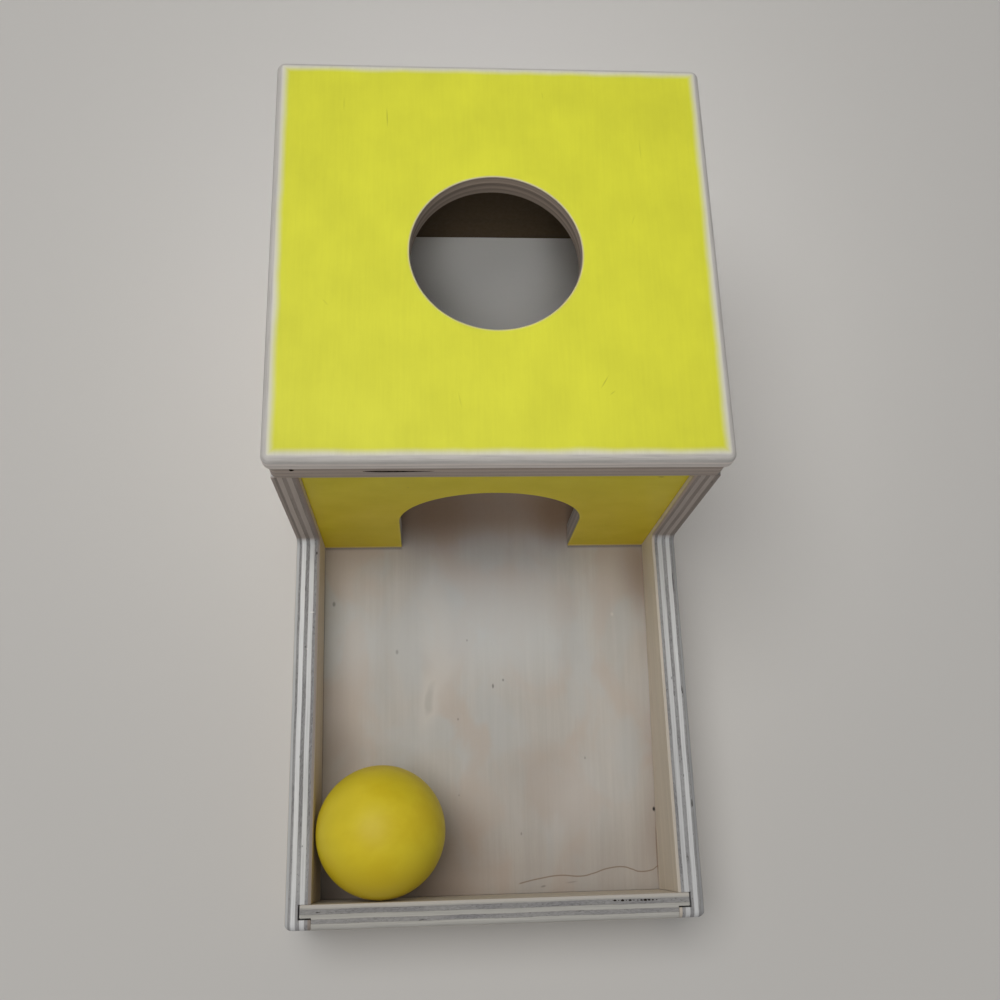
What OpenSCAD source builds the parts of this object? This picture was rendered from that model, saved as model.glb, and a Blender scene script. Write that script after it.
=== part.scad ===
// Object permanence box for a baby: a tall plywood box with a round drop hole in its
// lid, and a low tray in front. One sloping floor runs through both, so that the ball
// rolls out through the arch and down to the tray's front.
// Millimetres, +Z up. The tray points to -Y, so the box's back is at +Y. The origin is
// on the table, under the centre of the part's outer box.

/* [Box and tray] */
// Width across the outer faces of the two sides
box_w = 148; // [130:1:180]
// Depth of the tall box, from its front edge to its back face
box_d = 148; // [130:1:180]
// Height of the whole part, from the table to the top of the lid
box_h = 130; // [120:1:160]
// Length of the tray in front of the tall box
tray_l = 141; // [110:1:180]
// Height of the tray's walls above the table
tray_h = 40; // [32:1:50]

/* [Lid] */
// Thickness of the lid
lid_t = 9; // [7:0.5:14]
// How far the lid stands out past the box on every side
lid_over = 1; // [0:0.5:6]
// Radius of the lid's rounded edges
lid_round = 2.8; // [0.5:0.1:3.2]
// How much wider the drop hole is than the ball
hole_clear = 10.5; // [3:0.5:14]
// How far the drop hole's centre lies in front of the lid's middle
hole_ahead = 0.7; // [0:0.1:3]
// Radius of the rounding round the drop hole's upper rim
hole_round = 0.6; // [0.5:0.1:3]

/* [Frame under the lid] */
// Thickness of the frame
frame_t = 9; // [6:0.5:12]
// Width of the frame's four rails
rail_w = 19; // [12:1:22]

/* [Sides] */
// Thickness of the two sides
side_t = 9; // [7:0.5:12]
// Radius of the sides' outer corners
side_corner = 2.5; // [0.5:0.5:4]
// Radius of the inner corner where a tall side steps down to the tray
step_round = 3; // [1:0.5:8]

/* [Panels] */
// Thickness of the front panel
panel_t = 9; // [7:0.5:12]
// How far the front panel lies behind the sides' front edges
panel_set = 2; // [0.5:0.5:6]
// How much wider the arch is than the ball
arch_clear = 21; // [6:1:30]
// Height of the arch's straight legs above the floor
arch_leg = 35; // [26:0.5:44]
// Thickness of the back panel
back_t = 9; // [7:0.5:12]
// Thickness of the tray's front wall
front_t = 8.5; // [7:0.5:12]
// Radius of the front wall's outer upper edge
front_round = 1.5; // [0.5:0.1:3]

/* [Tongues and grooves] */
// How far each panel's tongue reaches into a side
tongue_l = 4; // [2:0.5:5]
// Thickness of the tongues
tongue_t = 4.5; // [3:0.5:6]
// Gap at the end and on the outer face of each tongue
tongue_gap = 0.4; // [0.1:0.1:0.8]

/* [Floor] */
// Thickness of the floor
floor_t = 5; // [3:0.5:5]
// Height of the floor above the table at the tray's front wall
floor_front = 7; // [6.5:0.5:12]
// How much higher the floor is at the back panel
floor_rise = 27; // [8:1:32]
// How far the floor's edges reach into the sides
floor_groove = 3.5; // [2:0.5:5]
// Gap at the floor's edges in their grooves
floor_gap = 0.3; // [0.1:0.1:0.8]

/* [Ball] */
// Diameter of the ball
ball_d = 47; // [45:1:52]
// Gap between the resting ball and the floor and walls round it
ball_gap = 0.3; // [0.2:0.1:1]

/* [Hidden] */
$fn = 64;
// Overrun of every cut past the face that it opens
cut = 1;

// Along Y, from the tray's front to the lid's back edge
part_l = tray_l + box_d + lid_over;
front_y = -part_l / 2;
step_y = front_y + tray_l;
back_y = step_y + box_d;
tray_in_y = front_y + front_t;
panel_y = step_y + panel_set;
panel_back_y = panel_y + panel_t;
back_in_y = back_y - back_t;
mid_y = (step_y + back_y) / 2;

// Across X
half_w = box_w / 2;
in_x = half_w - side_t;

// Up Z
frame_z = box_h - lid_t - frame_t;
lid_z = box_h - lid_t;

// Floor
floor_slope = floor_rise / (back_in_y - tray_in_y);
// Height of the floor's board, measured straight up through its slope
floor_drop = floor_t * sqrt(1 + floor_slope * floor_slope);

// Lid, hole and arch
lid_w = box_w + 2 * lid_over;
lid_d = box_d + 2 * lid_over;
hole_r = (ball_d + hole_clear) / 2;
arch_r = (ball_d + arch_clear) / 2;
arch_z = floor_at(panel_y) + arch_leg;

ball_r = ball_d / 2;

// Height of the floor's upper face above the table at a place along Y
function floor_at(y) = floor_front + (y - tray_in_y) * floor_slope;

// Board from a lower corner to an upper corner
module board(low, high) {
    translate(low) cube(high - low);
}

// Solid between X low and X high, with an outline of [Y, Z] points
module across(low, high, points) {
    translate([low, 0, 0]) rotate([90, 0, 90]) linear_extrude(high - low) polygon(points);
}

// Upright board between Y low and Y high, cut along the sloping floor at its foot
module board_on_floor(x, low, high) {
    across(-x, x, [
        [low, floor_at(low)],
        [high, floor_at(high)],
        [high, frame_z],
        [low, frame_z],
    ]);
}

// Sloping floor board that reaches x to each hand, and over past both its ends
module floor_board(x, over) {
    low = tray_in_y - over;
    high = back_in_y + over;
    across(-x, x, [
        [low, floor_at(low) - floor_drop],
        [high, floor_at(high) - floor_drop],
        [high, floor_at(high)],
        [low, floor_at(low)],
    ]);
}

// Rectangle with round corners, from its lower left corner
module round_rect(w, l, r) {
    translate([r, 0]) square([w - 2 * r, l]);
    translate([0, r]) square([w, l - 2 * r]);
    for (x = [r, w - r], y = [r, l - r]) {
        translate([x, y]) circle(r);
    }
}

// Board centred on the Z axis with every edge rounded
module soft_board(w, d, t, r) {
    wr = w / 2 - r;
    dr = d / 2 - r;
    board([-wr, -dr, 0], [wr, dr, t]);
    board([-wr - r, -dr, r], [wr + r, dr, t - r]);
    board([-wr, -dr - r, r], [wr, dr + r, t - r]);
    for (x = [-wr, wr], y = [-dr, dr]) {
        translate([x, y, r]) cylinder(h = t - 2 * r, r = r);
    }
    for (z = [r, t - r]) {
        for (y = [-dr, dr]) {
            translate([-wr, y, z]) rotate([0, 90, 0]) cylinder(h = 2 * wr, r = r);
        }
        for (x = [-wr, wr]) {
            translate([x, -dr, z]) rotate([-90, 0, 0]) cylinder(h = 2 * dr, r = r);
        }
        for (x = [-wr, wr], y = [-dr, dr]) {
            translate([x, y, z]) sphere(r);
        }
    }
}

// Cutter that rounds the upper rim of a hole of radius hole_r, with its rim at Z 0
module rim_cutter() {
    rotate_extrude() difference() {
        translate([hole_r - cut, -hole_round]) square([hole_round + cut, hole_round + cut]);
        translate([hole_r + hole_round, -hole_round]) circle(hole_round);
    }
}

module lid() {
    color("yellowgreen") translate([0, mid_y, lid_z]) difference() {
        soft_board(lid_w, lid_d, lid_t, lid_round);
        translate([0, -hole_ahead, -cut]) cylinder(h = lid_t + 2 * cut, r = hole_r);
        translate([0, -hole_ahead, lid_t]) rim_cutter();
    }
}

// Frame as wide as the box, between the lid and the tops of the sides
module top_frame() {
    color("tan") translate([-half_w, step_y, frame_z]) difference() {
        linear_extrude(frame_t) round_rect(box_w, box_d, side_corner);
        translate([rail_w, rail_w, -cut])
            linear_extrude(frame_t + 2 * cut)
                round_rect(box_w - 2 * rail_w, box_d - 2 * rail_w, side_corner);
    }
}

// Outline of a side, seen from +X: tall at the back and low along the tray. X here is
// the part's Y, and Y here is the part's Z.
module side_outline() {
    difference() {
        union() {
            translate([front_y, 0]) round_rect(part_l - lid_over, tray_h, side_corner);
            translate([front_y + side_corner, 0]) square([part_l - lid_over - side_corner, tray_h / 2]);
            translate([front_y, 0]) square([side_corner, side_corner]);
            translate([step_y - step_round, 0]) square([box_d + step_round, tray_h + step_round]);
            translate([step_y, 0]) square([box_d, frame_z]);
        }
        translate([step_y - step_round, tray_h + step_round]) circle(step_round);
        translate([step_y - 2 * step_round, tray_h])
            square([step_round, step_round + cut]);
    }
}

// Side board whose inner face lies on X 0 and whose outer face is at X side_t
module side_blank() {
    intersection() {
        rotate([90, 0, 90]) linear_extrude(side_t) side_outline();
        translate([-side_t, front_y, -cut])
            linear_extrude(box_h + 2 * cut)
                round_rect(2 * side_t, part_l - lid_over, side_corner);
    }
}

// Groove for one panel's tongue, from the panel's inner face y_in towards dir
module tongue_groove(y_in, dir, z_low, z_high) {
    far = y_in + dir * (tongue_t + tongue_gap);
    board([-cut, min(y_in, far), z_low], [tongue_l + tongue_gap, max(y_in, far), z_high]);
}

// A side on the +X hand
module side() {
    panel_foot = floor_at(panel_back_y - tongue_t) - floor_t / 2;
    difference() {
        translate([in_x, 0, 0]) difference() {
            side_blank();
            tongue_groove(tray_in_y, -1, -cut, tray_h + cut);
            tongue_groove(panel_back_y, -1, panel_foot, frame_z + cut);
            tongue_groove(back_in_y, 1, -cut, frame_z + cut);
        }
        floor_board(in_x + floor_groove, cut);
    }
}

module left_side() {
    color("wheat") mirror([1, 0, 0]) side();
}

module right_side() {
    color("wheat") side();
}

// Front panel with the arch that the ball rolls out through
module front_panel() {
    color("gold") difference() {
        union() {
            board_on_floor(in_x, panel_y, panel_back_y);
            board_on_floor(in_x + tongue_l, panel_back_y - tongue_t, panel_back_y);
        }
        translate([0, panel_back_y + cut, arch_z]) rotate([90, 0, 0])
            cylinder(h = panel_t + 2 * cut, r = arch_r);
        board([-arch_r, panel_y - cut, 0], [arch_r, panel_back_y + cut, arch_z]);
    }
}

module back_panel() {
    tongue_x = in_x + tongue_l;
    color("burlywood") {
        board([-in_x, back_in_y, 0], [in_x, back_y, frame_z]);
        board([-tongue_x, back_in_y, 0], [tongue_x, back_in_y + tongue_t, frame_z]);
    }
}

// Front wall of the tray, with its outer upper edge rounded
module tray_front() {
    tongue_x = in_x + tongue_l;
    color("antiquewhite") {
        translate([-in_x, front_y, 0]) rotate([90, 0, 90]) linear_extrude(2 * in_x) {
            square([front_t, tray_h - front_round]);
            translate([front_round, 0]) square([front_t - front_round, tray_h]);
            translate([front_round, tray_h - front_round]) circle(front_round);
        }
        board([-tongue_x, tray_in_y - tongue_t, 0], [tongue_x, tray_in_y, tray_h]);
    }
}

// Floor of the tray and the box in one sloping board, with its edges in the sides
module floor_panel() {
    color("bisque") floor_board(in_x + floor_groove - floor_gap, 0);
}

// Ball at rest in the tray's front left corner
module ball() {
    seat = ball_r + ball_gap;
    ball_y = tray_in_y + seat;
    ball_z = floor_at(ball_y) + seat * sqrt(1 + floor_slope * floor_slope);
    color("gold") translate([seat - in_x, ball_y, ball_z]) sphere(ball_r);
}

lid();
top_frame();
left_side();
right_side();
front_panel();
back_panel();
tray_front();
floor_panel();
ball();
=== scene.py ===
"""Looks of a wooden ball-drop box: plywood boards with sanded edges, yellow paint and a painted ball."""

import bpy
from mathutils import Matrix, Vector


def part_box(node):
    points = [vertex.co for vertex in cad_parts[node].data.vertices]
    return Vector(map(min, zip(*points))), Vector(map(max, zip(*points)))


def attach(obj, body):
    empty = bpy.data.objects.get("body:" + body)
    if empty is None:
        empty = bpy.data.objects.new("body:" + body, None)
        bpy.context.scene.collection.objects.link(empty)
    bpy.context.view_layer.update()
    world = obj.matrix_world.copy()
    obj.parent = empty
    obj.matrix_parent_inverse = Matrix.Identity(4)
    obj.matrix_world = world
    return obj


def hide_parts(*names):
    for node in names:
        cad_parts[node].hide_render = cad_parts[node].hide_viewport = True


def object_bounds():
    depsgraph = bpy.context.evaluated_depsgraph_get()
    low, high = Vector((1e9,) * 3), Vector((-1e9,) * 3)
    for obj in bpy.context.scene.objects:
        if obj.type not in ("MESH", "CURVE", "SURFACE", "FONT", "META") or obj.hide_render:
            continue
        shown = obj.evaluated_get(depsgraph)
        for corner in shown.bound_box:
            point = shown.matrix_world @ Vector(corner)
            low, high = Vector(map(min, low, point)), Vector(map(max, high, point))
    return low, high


bl_info = {
    "name": "Ball-drop box",
    "version": (1, 0, 0),
    "blender": (4, 5, 0),
    "location": "3D View > Sidebar > Ball-drop box",
    "description": "Dresses the boards and the ball of a wooden ball-drop box",
    "category": "Object",
}

from math import cos, radians, sin

import bmesh
import bpy
from bpy.props import FloatProperty, FloatVectorProperty, IntProperty, PointerProperty
from mathutils import Matrix, Vector

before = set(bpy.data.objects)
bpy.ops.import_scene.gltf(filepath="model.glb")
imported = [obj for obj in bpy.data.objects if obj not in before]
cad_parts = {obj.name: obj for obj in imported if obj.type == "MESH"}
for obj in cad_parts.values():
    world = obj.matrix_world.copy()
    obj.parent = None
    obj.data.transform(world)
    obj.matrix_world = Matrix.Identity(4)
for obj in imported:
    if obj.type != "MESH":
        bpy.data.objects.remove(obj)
CAD_LOW, CAD_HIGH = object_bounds()

MM = 0.001
# Area in square metres under which a face is a sliver
SLIVER = 3e-7
# Where the plies of a side board meet, as shares of its thickness counted from the outer face
SIDE_PLIES = (0.13, 0.22, 0.41, 0.56, 0.76, 0.88)
# The same for the tray's front wall, which has five plies: shares over 1 lie outside the board
TRAY_PLIES = (0.25, 0.43, 0.62, 0.82, 1.5, 1.6)
# The same for the lid, whose edges are sanded round
LID_PLIES = (0.16, 0.27, 0.45, 0.57, 0.75, 0.86)
# Thickness in millimetres of the boards, of the tray's front wall and of the floor, for their plies
BOARD, TRAY_BOARD, FLOOR_BOARD = 9.0, 8.5, 5.0
# Depth in metres of the relief of wood and paint
RELIEF = 0.0002
# Lengths in metres: points closer than this are one, the play round a rim, and the reach that holds the hole
SAME, NEAR, HOLE_REACH = 1e-6, 1e-5, 0.040
# Kinds of socket, by the type of their default
SOCKETS = {tuple: "Vector", float: "Float", int: "Int", type(None): "Material"}
# Angles in degrees: faces within this are one, edges over this are sanded, edges over this still look sharp
FLAT, SANDED, CREASED = 0.5, 40, 32


# ---------------- sizes and colours


def metres(name, description, value, soft_max):
    """A length setting, in metres."""
    return FloatProperty(
        name=name, description=description, default=value, min=0, soft_max=soft_max, subtype="DISTANCE", unit="LENGTH",
    )


class BallDropSizes(bpy.types.PropertyGroup):
    """Sizes of the worn and sanded details."""

    edge: metres("Broken edge", "Width of the sanded line along the boards' sharp edges", 0.00035, 0.001)
    bare_start: metres("Bare rim", "Width of the bare wood along the lid's edge, where no paint is left", 0.0016, 0.01)
    bare_end: metres("Full paint", "Distance from the lid's edge at which the paint covers fully", 0.0050, 0.02)
    hole_rim: metres("Bare hole rim", "Width of the bare wood round the drop hole", 0.0006, 0.01)
    ball_flats: metres("Ball unevenness", "Depth of the ball's turned and painted unevenness", 0.00012, 0.001)
    void_count: IntProperty(
        name="Chips", description="Number of chips along the tray wall's upper edge", default=12, min=1, soft_max=30,
    )
    seed: IntProperty(
        name="Seed", description="Seed of the chips and of the ball's unevenness", default=4, min=0,
    )


def colour(name, description, value):
    """A colour setting, as Blender's linear red, green and blue."""
    return FloatVectorProperty(
        name=name, description=description, default=value, size=3, min=0, max=1, subtype="COLOR",
    )


class BallDropColours(bpy.types.PropertyGroup):
    """Colours of the paint, the wood and the table."""

    lid_paint: colour("Lid paint", "Lemon yellow on the lid", (0.596, 0.598, 0.034))
    panel_paint: colour("Panel paint", "Yellow on the arched panel", (0.670, 0.525, 0.014))
    ball_paint: colour("Ball paint", "Golden yellow on the ball", (0.680, 0.545, 0.022))
    light_ply: colour("Light ply", "Plies cut along their grain", (0.575, 0.577, 0.582))
    grey_ply: colour("Grey ply", "Plies cut across their grain", (0.213, 0.208, 0.212))
    tan_ply: colour("Tan ply", "Innermost ply of the left side board", (0.250, 0.212, 0.188))
    cream_ply: colour("Cream ply", "Innermost ply of the right side board", (0.505, 0.450, 0.390))
    glue: colour("Glue line", "Glue between the plies", (0.110, 0.088, 0.066))
    face: colour("Board face", "Face veneer of the plywood", (0.600, 0.520, 0.420))
    floor: colour("Floor veneer", "Pale veneer of the sloping floor", (0.470, 0.440, 0.405))
    # Painted light: paler than the veneer, standing for the light that falls through the hole
    floor_inside: colour("Floor inside", "Plain, pale part of the floor under the hole", (0.680, 0.670, 0.645))
    # Painted shade: the back panel's inner face, darkened for the shade inside the box
    inside: colour("Inside face", "Dark face of the back panel", (0.082, 0.054, 0.026))
    inside_wood: colour("Inside of the front panel", "Unpainted inner face of the front panel", (0.300, 0.220, 0.150))
    # Near black: painted shade inside the cut hollows, and the colour of dark specks and pits
    void: colour("Void", "Inside of the small holes in the plies", (0.018, 0.013, 0.009))
    table: colour("Table", "Pale floor under the object", (0.610, 0.595, 0.575))


def palette():
    return bpy.context.scene.ball_drop_colours


# ---------------- node helpers


def put(tree, kind, inputs=None, **settings):
    """Adds a node, sets it, and fills or links its inputs."""
    node = tree.nodes.new(kind)
    for key, value in settings.items():
        setattr(node, key, value)
    for key, value in (inputs or {}).items():
        if isinstance(value, bpy.types.NodeSocket):
            tree.links.new(value, node.inputs[key])
        else:
            node.inputs[key].default_value = value
    return node


def first_of(tree, kind, inputs=None, **settings):
    """Adds a node and gives its first output."""
    return put(tree, kind, inputs, **settings).outputs[0]


def calc(tree, operation, *values, clamp=False):
    return first_of(tree, "ShaderNodeMath", dict(enumerate(values)), operation=operation, use_clamp=clamp)


def times(tree, first, second):
    return calc(tree, "MULTIPLY", first, second)


def fused(tree, first, second, third):
    """First times second plus third."""
    return calc(tree, "MULTIPLY_ADD", first, second, third)


def rest(tree, share):
    """What a share leaves of one."""
    return calc(tree, "SUBTRACT", 1.0, share)


def between(tree, share, low, high):
    """A number that goes from low to high as the share goes from 0 to 1."""
    return calc(tree, "ADD", times(tree, share, high), times(tree, rest(tree, share), low))


def vector(tree, operation, *values):
    node = put(tree, "ShaderNodeVectorMath", dict(enumerate(values)), operation=operation)
    return node.outputs["Value" if operation in ("DOT_PRODUCT", "LENGTH") else "Vector"]


def scaled(tree, value, factor):
    """A vector times a number."""
    return first_of(tree, "ShaderNodeVectorMath", {0: value, "Scale": factor}, operation="SCALE")


def split(tree, value):
    """A vector's X, Y and Z."""
    return put(tree, "ShaderNodeSeparateXYZ", {0: value}).outputs


def joined(tree, x, y, z=0.0):
    """The vector with these X, Y and Z."""
    return first_of(tree, "ShaderNodeCombineXYZ", {0: x, 1: y, 2: z})


def step(tree, value, low, high, start=0.0, end=1.0):
    """A soft step from start at low to end at high."""
    inputs = {"Value": value, "From Min": low, "From Max": high, "To Min": start, "To Max": end}
    return first_of(tree, "ShaderNodeMapRange", inputs, interpolation_type="SMOOTHSTEP")


def mix(tree, share, first, second, kind="MIX"):
    """Mixes two colours, each of them a socket or a colour."""
    first, second = (c if isinstance(c, bpy.types.NodeSocket) else (*c[:3], 1.0) for c in (first, second))
    inputs = {0: share, 6: first, 7: second}
    return put(tree, "ShaderNodeMix", inputs, data_type="RGBA", blend_type=kind, clamp_factor=True).outputs[2]


def tinted(tree, share, first, tint):
    """Multiplies a colour by a tint, as far as the share says."""
    return mix(tree, share, first, tint, "MULTIPLY")


def noise(tree, where, stretch, detail=2.0, roughness=0.5, distortion=0.0, result="Fac"):
    """Noise, with its own scale along each axis."""
    place = vector(tree, "MULTIPLY", where, stretch)
    inputs = {"Vector": place, "Scale": 1.0, "Detail": detail, "Roughness": roughness, "Distortion": distortion}
    return put(tree, "ShaderNodeTexNoise", inputs).outputs[result]


def shade(value, factor):
    """The same colour, lighter or darker."""
    return tuple(min(1.0, c * factor) for c in value[:3])


def levels(tree, value, stops):
    """A grey level that follows value through these (place, level) stops."""
    node = put(tree, "ShaderNodeValToRGB", {0: value})
    marks = node.color_ramp.elements
    for place, _ in stops[1:-1]:
        marks.new(place)
    for mark, (place, level) in zip(marks, stops):
        mark.position, mark.color = place, (level, level, level, 1.0)
    return node.outputs["Color"]


def surface_point(tree):
    """The place of a surface point, in millimetres."""
    return vector(tree, "MULTIPLY", put(tree, "ShaderNodeTexCoord").outputs["Object"], (1 / MM,) * 3)


def in_mm(corners):
    """The two corners of a box, in millimetres."""
    return [corner / MM for corner in corners]


def new_group(name, inputs, results, result="Float", kind="ShaderNodeTree"):
    """An empty tree with its input and output nodes, from its inputs' defaults and the names of its results."""
    tree = bpy.data.node_groups.new(name, kind)
    for label, default in inputs.items():
        socket = tree.interface.new_socket(label, in_out="INPUT", socket_type="NodeSocket" + SOCKETS[type(default)])
        if default is not None:
            socket.default_value = default
    for label in results:
        tree.interface.new_socket(label, in_out="OUTPUT", socket_type="NodeSocket" + result)
    return tree, tree.nodes.new("NodeGroupInput").outputs, tree.nodes.new("NodeGroupOutput").inputs


def give(tree, out, **results):
    """Links the results to the tree's outputs."""
    for name, result in results.items():
        tree.links.new(result, out[name])


def use(tree, group, **inputs):
    """Places a group in a material. An input's spaces are written as underscores."""
    named = {key.replace("_", " "): value for key, value in inputs.items()}
    return put(tree, "ShaderNodeGroup", named, node_tree=bpy.data.node_groups[group]).outputs


# ---------------- shared effects


def board_axes_group():
    """Millimetres along the grain, across it and through the board, counted from one corner."""
    inputs = {"Along": (0, 1, 0), "Through": (0, 0, 1), "Corner": (0, 0, 0)}
    tree, given, out = new_group("Board axes", inputs, ("Millimetres",), "Vector")
    start = vector(tree, "SUBTRACT", surface_point(tree), given["Corner"])
    across = vector(tree, "CROSS_PRODUCT", given["Through"], given["Along"])
    axes = [vector(tree, "DOT_PRODUCT", start, way) for way in (given["Along"], across, given["Through"])]
    give(tree, out, Millimetres=joined(tree, *axes))


def ply_lines_group():
    """The stripes of a cut plywood edge: which plies are grey, the glue between them, streaks and voids."""
    names = [f"Line {n}" for n in range(1, 7)]
    inputs = {"Millimetres": (0, 0, 0), "Thickness": BOARD, "Waviness": 0.2, **dict(zip(names, SIDE_PLIES))}
    tree, given, out = new_group("Ply lines", inputs, ("Grey", "Glue", "Streak", "Hatch", "Void", "Share"))
    where = given["Millimetres"]
    slow = calc(tree, "SUBTRACT", noise(tree, where, (0.035, 0.035, 0.05)), 0.5)
    fast = calc(tree, "SUBTRACT", noise(tree, where, (0.45, 0.45, 0.3)), 0.5)
    wave = fused(tree, fast, 0.45, times(tree, slow, 1.6))
    moved = fused(tree, wave, given["Waviness"], split(tree, where)[2])
    share = calc(tree, "DIVIDE", moved, given["Thickness"])
    grey, soft = 0.0, 0.016
    for number, line in enumerate(names):
        edge = step(tree, share, calc(tree, "SUBTRACT", given[line], soft), calc(tree, "ADD", given[line], soft))
        grey = calc(tree, "SUBTRACT" if number % 2 else "ADD", grey, edge)
    hollow = step(tree, noise(tree, where, (0.11, 0.11, 0.75), detail=3.0, roughness=0.65), 0.66, 0.70)
    pits = step(tree, noise(tree, where, (0.9, 0.9, 1.9), roughness=0.6), 0.60, 0.70, 0.0, 0.60)
    give(
        tree, out, Grey=grey, Share=share,
        Glue=times(tree, times(tree, grey, rest(tree, grey)), 4.0),
        Streak=noise(tree, where, (0.07, 0.07, 4.5), detail=4.0, roughness=0.6),
        Hatch=noise(tree, where, (0.55, 0.55, 2.6), detail=4.0, roughness=0.62),
        Void=times(tree, calc(tree, "MAXIMUM", hollow, pits), grey),
    )


def veneer_grain_group():
    """Tone and pores of a veneer's face."""
    tree, given, out = new_group("Veneer grain", {"Millimetres": (0, 0, 0), "Seed": 0.0}, ("Tone", "Pores"))
    flat = vector(tree, "MULTIPLY", given["Millimetres"], (1, 1, 0))
    where = vector(tree, "ADD", flat, joined(tree, *[given["Seed"]] * 3))
    broad = noise(tree, where, (0.010, 0.10, 1), detail=3.0, distortion=0.8)
    bands = noise(tree, where, (0.016, 0.55, 1), detail=4.0, roughness=0.6, distortion=0.5)
    fine = noise(tree, where, (0.06, 3.2, 1))
    tone = fused(tree, bands, 0.9, fused(tree, fine, 0.3, broad))
    pores = step(tree, noise(tree, where, (0.35, 5.5, 1), detail=1.0), 0.66, 0.78)
    give(tree, out, Tone=calc(tree, "SUBTRACT", tone, 1.1), Pores=pores)


def paint_cover_group():
    """Tone and relief of thin paint over wood, with the grain just showing through."""
    tree, given, out = new_group("Paint cover", {"Millimetres": (0, 0, 0), "Grain": 1.0}, ("Tone", "Relief"))
    where = given["Millimetres"]
    cloud = calc(tree, "SUBTRACT", noise(tree, where, (0.045, 0.06, 0.05), detail=3.0), 0.5)
    lines = calc(tree, "SUBTRACT", noise(tree, where, (0.05, 0.9, 0.9), detail=3.0, roughness=0.6), 0.5)
    grain = times(tree, lines, given["Grain"])
    peel = noise(tree, where, (1.1, 1.1, 1.1))
    give(tree, out, Tone=fused(tree, grain, 0.3, cloud), Relief=fused(tree, peel, 0.35, grain))


def mark_group():
    """A soft-edged oval mark on a board's face: a speck, a scratch or a patch."""
    inputs = {
        "Millimetres": (0, 0, 0), "Centre": (0, 0, 0), "Half length": 1.0, "Half width": 1.0, "Turn": 0.0,
        "Softness": 0.5,
    }
    tree, given, out = new_group("Mark", inputs, ("Mask",))
    offset = vector(tree, "SUBTRACT", given["Millimetres"], given["Centre"])
    turn = {"Vector": offset, "Angle": given["Turn"]}
    turned = first_of(tree, "ShaderNodeVectorRotate", turn, rotation_type="Z_AXIS")
    # The mark goes right through the board
    size = joined(tree, given["Half length"], given["Half width"], 1e6)
    reach = vector(tree, "LENGTH", vector(tree, "DIVIDE", turned, size))
    give(tree, out, Mask=step(tree, reach, rest(tree, given["Softness"]), 1.0, 1.0, 0.0))


def edge_distance_group():
    """Millimetres inwards from a rounded rectangle, seen from above."""
    inputs = {"Millimetres": (0, 0, 0), "Half size": (1, 1, 0), "Corner": 1.0}
    tree, given, out = new_group("Edge distance", inputs, ("Distance",))
    corner = joined(tree, given["Corner"], given["Corner"])
    flat = vector(tree, "MULTIPLY", vector(tree, "ABSOLUTE", given["Millimetres"]), (1, 1, 0))
    past = vector(tree, "SUBTRACT", flat, vector(tree, "SUBTRACT", given["Half size"], corner))
    outside = vector(tree, "LENGTH", vector(tree, "MAXIMUM", past, (0, 0, 0)))
    parts = split(tree, past)
    inside = calc(tree, "MINIMUM", calc(tree, "MAXIMUM", parts[0], parts[1]), 0.0)
    give(tree, out, Distance=calc(tree, "SUBTRACT", given["Corner"], calc(tree, "ADD", outside, inside)))


# ---------------- finishes


def new_finish(name):
    material = bpy.data.materials.new(name)
    material.use_nodes = True
    material.node_tree.nodes.clear()
    return material, material.node_tree


def close_finish(material, base, rough, height, bump=0.35, specular=0.35):
    """Puts the colour, roughness and relief on the surface, and gives the material back."""
    tree = material.node_tree
    normal = first_of(tree, "ShaderNodeBump", {"Height": height, "Strength": bump, "Distance": RELIEF})
    inputs = {"Base Color": base, "Roughness": rough, "Normal": normal, "Specular IOR Level": specular}
    put(tree, "ShaderNodeOutputMaterial", {"Surface": first_of(tree, "ShaderNodeBsdfPrincipled", inputs)})
    return material


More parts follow.
